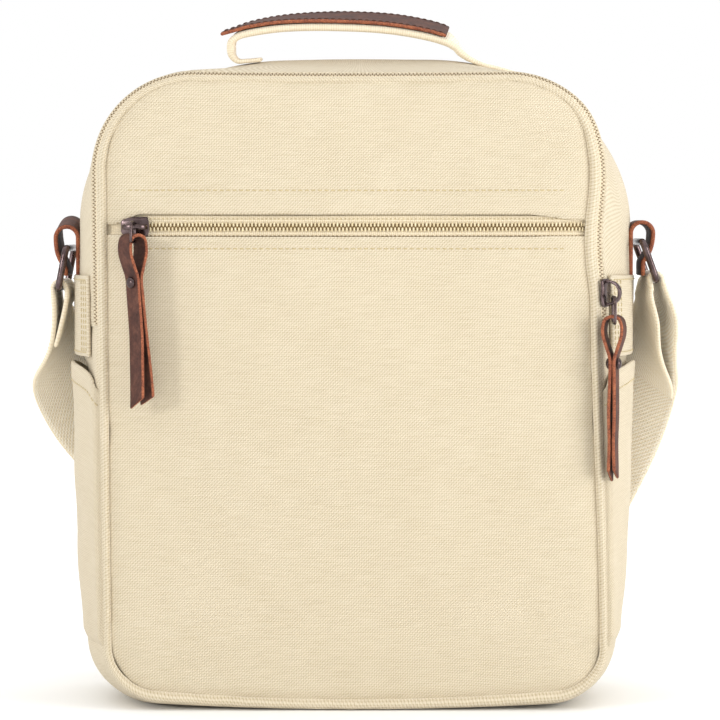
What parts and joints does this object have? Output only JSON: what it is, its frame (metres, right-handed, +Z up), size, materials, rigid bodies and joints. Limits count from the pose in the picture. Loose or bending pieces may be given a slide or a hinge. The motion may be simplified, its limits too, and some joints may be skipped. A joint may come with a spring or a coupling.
{
  "type": "canvas shoulder bag",
  "caption": "Upright zipped canvas shoulder bag with a front zip pocket, open side pockets, leather-gripped handle, leather zip pulls and a webbing shoulder strap.",
  "frame": {"origin": "on the floor, under the middle of the base's flat face", "axes": "+Z up, -Y out of the front with the pocket zip, +X to the viewer's right of the front"},
  "size_m": [0.3122, 0.1731, 0.3269],
  "materials": {
    "canvas": "matt cotton canvas",
    "webbing": "coarse woven cotton webbing",
    "zip_tape": "woven tape with a coil chain",
    "leather": "dark oiled leather",
    "metal": "dark gunmetal plating"
  },
  "bodies": {
    "bag": {"front_panel_lower": "canvas", "front_panel_upper": "canvas", "back_panel": "canvas", "front_edge_roll": "canvas", "upper_gusset": "canvas", "lower_gusset": "canvas", "left_side_pocket": "canvas", "right_side_pocket": "canvas", "left_side_band": "webbing", "right_side_band": "webbing", "shoulder_strap": "webbing", "handle_webbing": "webbing", "main_zip": "zip_tape", "pocket_zip": "zip_tape", "left_tab": "leather", "right_tab": "leather", "handle_grip": "leather", "left_ring": "metal", "right_ring": "metal", "pocket_slider": "metal", "main_slider": "metal", "pocket_pull_ring": "metal", "main_pull_ring": "metal"},
    "pocket_pull": {"pocket_pull": "leather", "pocket_pull_rivet": "metal"},
    "main_pull": {"main_pull": "leather", "main_pull_rivet": "metal"}
  },
  "joints": [
    {"name": "pocket_pull_swing", "type": "hinge", "parent": "bag", "child": "pocket_pull", "pos_m": [-0.10049, -0.05762, 0.21673], "axis": [-0.0324, -0.9995, 0], "range_deg": [-60, 60]},
    {"name": "main_pull_swing", "type": "hinge", "parent": "bag", "child": "main_pull", "pos_m": [0.11942, -0.04979, 0.17947], "axis": [0, -1, 0], "range_deg": [0, 70]}
  ]
}
